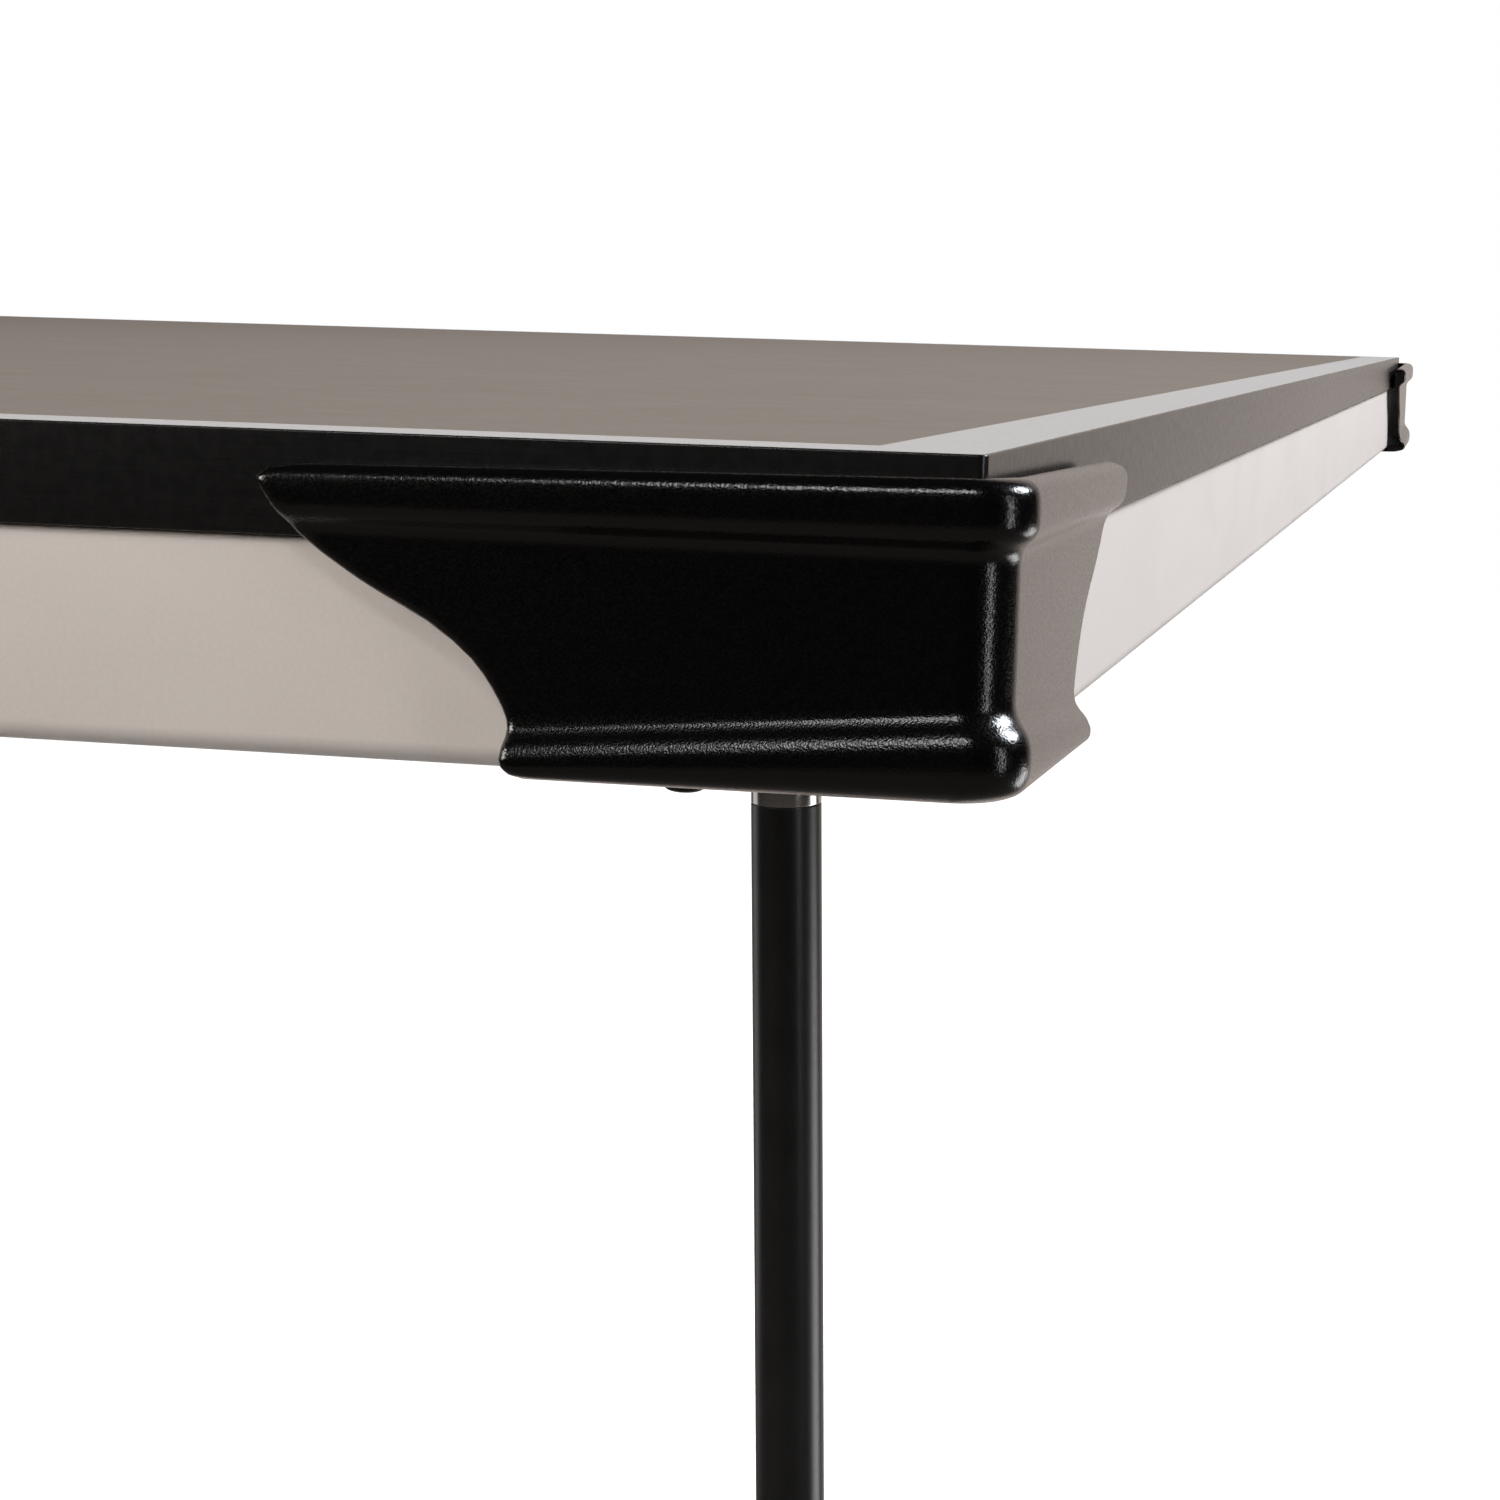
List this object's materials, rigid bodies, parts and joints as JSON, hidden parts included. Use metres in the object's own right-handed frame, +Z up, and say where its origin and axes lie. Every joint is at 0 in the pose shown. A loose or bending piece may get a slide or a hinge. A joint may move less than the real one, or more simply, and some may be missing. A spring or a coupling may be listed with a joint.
{
  "type": "drafting table",
  "caption": "Free-standing drafting table: flat board with deep aprons and moulded corner guards, tilting on a steel sub-frame with clamped telescopic splayed legs.",
  "frame": {"origin": "on the floor, under the middle of the board (bottom centre of the bounding box)", "axes": "+Z up; X along the long side of the board; the user stands at -Y, so the board's hinge side is -Y and its rear edge is +Y"},
  "size_m": [1.516, 1.016, 0.7721],
  "materials": {
    "board_laminate": "satin taupe laminate with a pale border line and a black edge band",
    "apron_laminate": "satin light grey laminate",
    "black_plastic": "fine leather grain",
    "black_paint": "semi-gloss powder coat",
    "zinc_steel": "bright zinc",
    "black_screw": "black oxide",
    "chrome": "polished",
    "aluminium": "satin anodised",
    "casting": "painted casting",
    "rubber": "matt"
  },
  "bodies": {
    "top": {"board": "board_laminate", "apron_front": "apron_laminate", "apron_rear": "apron_laminate", "apron_left": "apron_laminate", "apron_right": "apron_laminate", "pencil_ledge": "aluminium", "corner_cap_front_left": "black_plastic", "cap_screw_front_left_side": "black_screw", "cap_screw_front_left_end": "black_screw", "corner_cap_front_right": "black_plastic", "cap_screw_front_right_side": "black_screw", "cap_screw_front_right_end": "black_screw", "corner_cap_rear_left": "black_plastic", "cap_screw_rear_left_side": "black_screw", "cap_screw_rear_left_end": "black_screw", "corner_cap_rear_right": "black_plastic", "cap_screw_rear_right_side": "black_screw", "cap_screw_rear_right_end": "black_screw", "hinge_leaf_top_left": "zinc_steel", "quadrant_left": "zinc_steel", "hinge_leaf_top_right": "zinc_steel", "quadrant_right": "zinc_steel"},
    "base": {"hinge_leaf_base_left": "zinc_steel", "hinge_pin_left": "zinc_steel", "tilt_bolt_left": "zinc_steel", "rest_buffer_left": "rubber", "hinge_leaf_base_right": "zinc_steel", "hinge_pin_right": "zinc_steel", "tilt_bolt_right": "zinc_steel", "rest_buffer_right": "rubber", "rail_front": "black_paint", "rail_rear": "black_paint", "rail_left": "black_paint", "rail_right": "black_paint", "socket_front_left": "casting", "inner_tube_front_left": "chrome", "socket_front_right": "casting", "inner_tube_front_right": "chrome", "socket_rear_left": "casting", "inner_tube_rear_left": "chrome", "socket_rear_right": "casting", "inner_tube_rear_right": "chrome"},
    "tilt_knob_left": {"tilt_knob_left": "black_plastic"},
    "tilt_knob_right": {"tilt_knob_right": "black_plastic"},
    "leg_front_left": {"outer_tube_front_left": "black_paint", "ferrule_front_left": "chrome", "foot_glide_front_left": "rubber"},
    "leg_knob_front_left": {"leg_knob_front_left": "black_plastic"},
    "leg_front_right": {"outer_tube_front_right": "black_paint", "ferrule_front_right": "chrome", "foot_glide_front_right": "rubber"},
    "leg_knob_front_right": {"leg_knob_front_right": "black_plastic"},
    "leg_rear_left": {"outer_tube_rear_left": "black_paint", "ferrule_rear_left": "chrome", "foot_glide_rear_left": "rubber"},
    "leg_knob_rear_left": {"leg_knob_rear_left": "black_plastic"},
    "leg_rear_right": {"outer_tube_rear_right": "black_paint", "ferrule_rear_right": "chrome", "foot_glide_rear_right": "rubber"},
    "leg_knob_rear_right": {"leg_knob_rear_right": "black_plastic"}
  },
  "joints": [
    {"name": "board_tilt", "type": "hinge", "parent": "base", "child": "top", "pos_m": [0, -0.37, 0.7365], "axis": [1, 0, 0], "range_deg": [0, 40]},
    {"name": "leg_slide_front_left", "type": "slide", "parent": "base", "child": "leg_front_left", "axis": [-0.0481, -0.0241, -0.9986], "range_m": [0, 0.2]},
    {"name": "leg_clamp_front_left", "type": "hinge", "parent": "leg_front_left", "child": "leg_knob_front_left", "pos_m": [-0.55111, -0.35431, 0.54136], "axis": [-0.9988, 0.0012, 0.0481], "range_deg": [0, 360]},
    {"name": "leg_slide_front_right", "type": "slide", "parent": "base", "child": "leg_front_right", "axis": [0.0481, -0.0241, -0.9986], "range_m": [0, 0.2]},
    {"name": "leg_clamp_front_right", "type": "hinge", "parent": "leg_front_right", "child": "leg_knob_front_right", "pos_m": [0.55111, -0.35431, 0.54136], "axis": [0.9988, 0.0012, 0.0481], "range_deg": [0, 360]},
    {"name": "leg_slide_rear_left", "type": "slide", "parent": "base", "child": "leg_rear_left", "axis": [-0.0481, 0.0241, -0.9986], "range_m": [0, 0.2]},
    {"name": "leg_clamp_rear_left", "type": "hinge", "parent": "leg_rear_left", "child": "leg_knob_rear_left", "pos_m": [-0.55111, 0.19431, 0.54136], "axis": [-0.9988, -0.0012, 0.0481], "range_deg": [0, 360]},
    {"name": "leg_slide_rear_right", "type": "slide", "parent": "base", "child": "leg_rear_right", "axis": [0.0481, 0.0241, -0.9986], "range_m": [0, 0.2]},
    {"name": "leg_clamp_rear_right", "type": "hinge", "parent": "leg_rear_right", "child": "leg_knob_rear_right", "pos_m": [0.55111, 0.19431, 0.54136], "axis": [0.9988, -0.0012, 0.0481], "range_deg": [0, 360]},
    {"name": "tilt_clamp_left", "type": "hinge", "parent": "base", "child": "tilt_knob_left", "pos_m": [-0.5, -0.15185, 0.708], "axis": [1, 0, 0], "range_deg": [0, 360]},
    {"name": "tilt_clamp_right", "type": "hinge", "parent": "base", "child": "tilt_knob_right", "pos_m": [0.5, -0.15185, 0.708], "axis": [-1, 0, 0], "range_deg": [0, 360]}
  ]
}
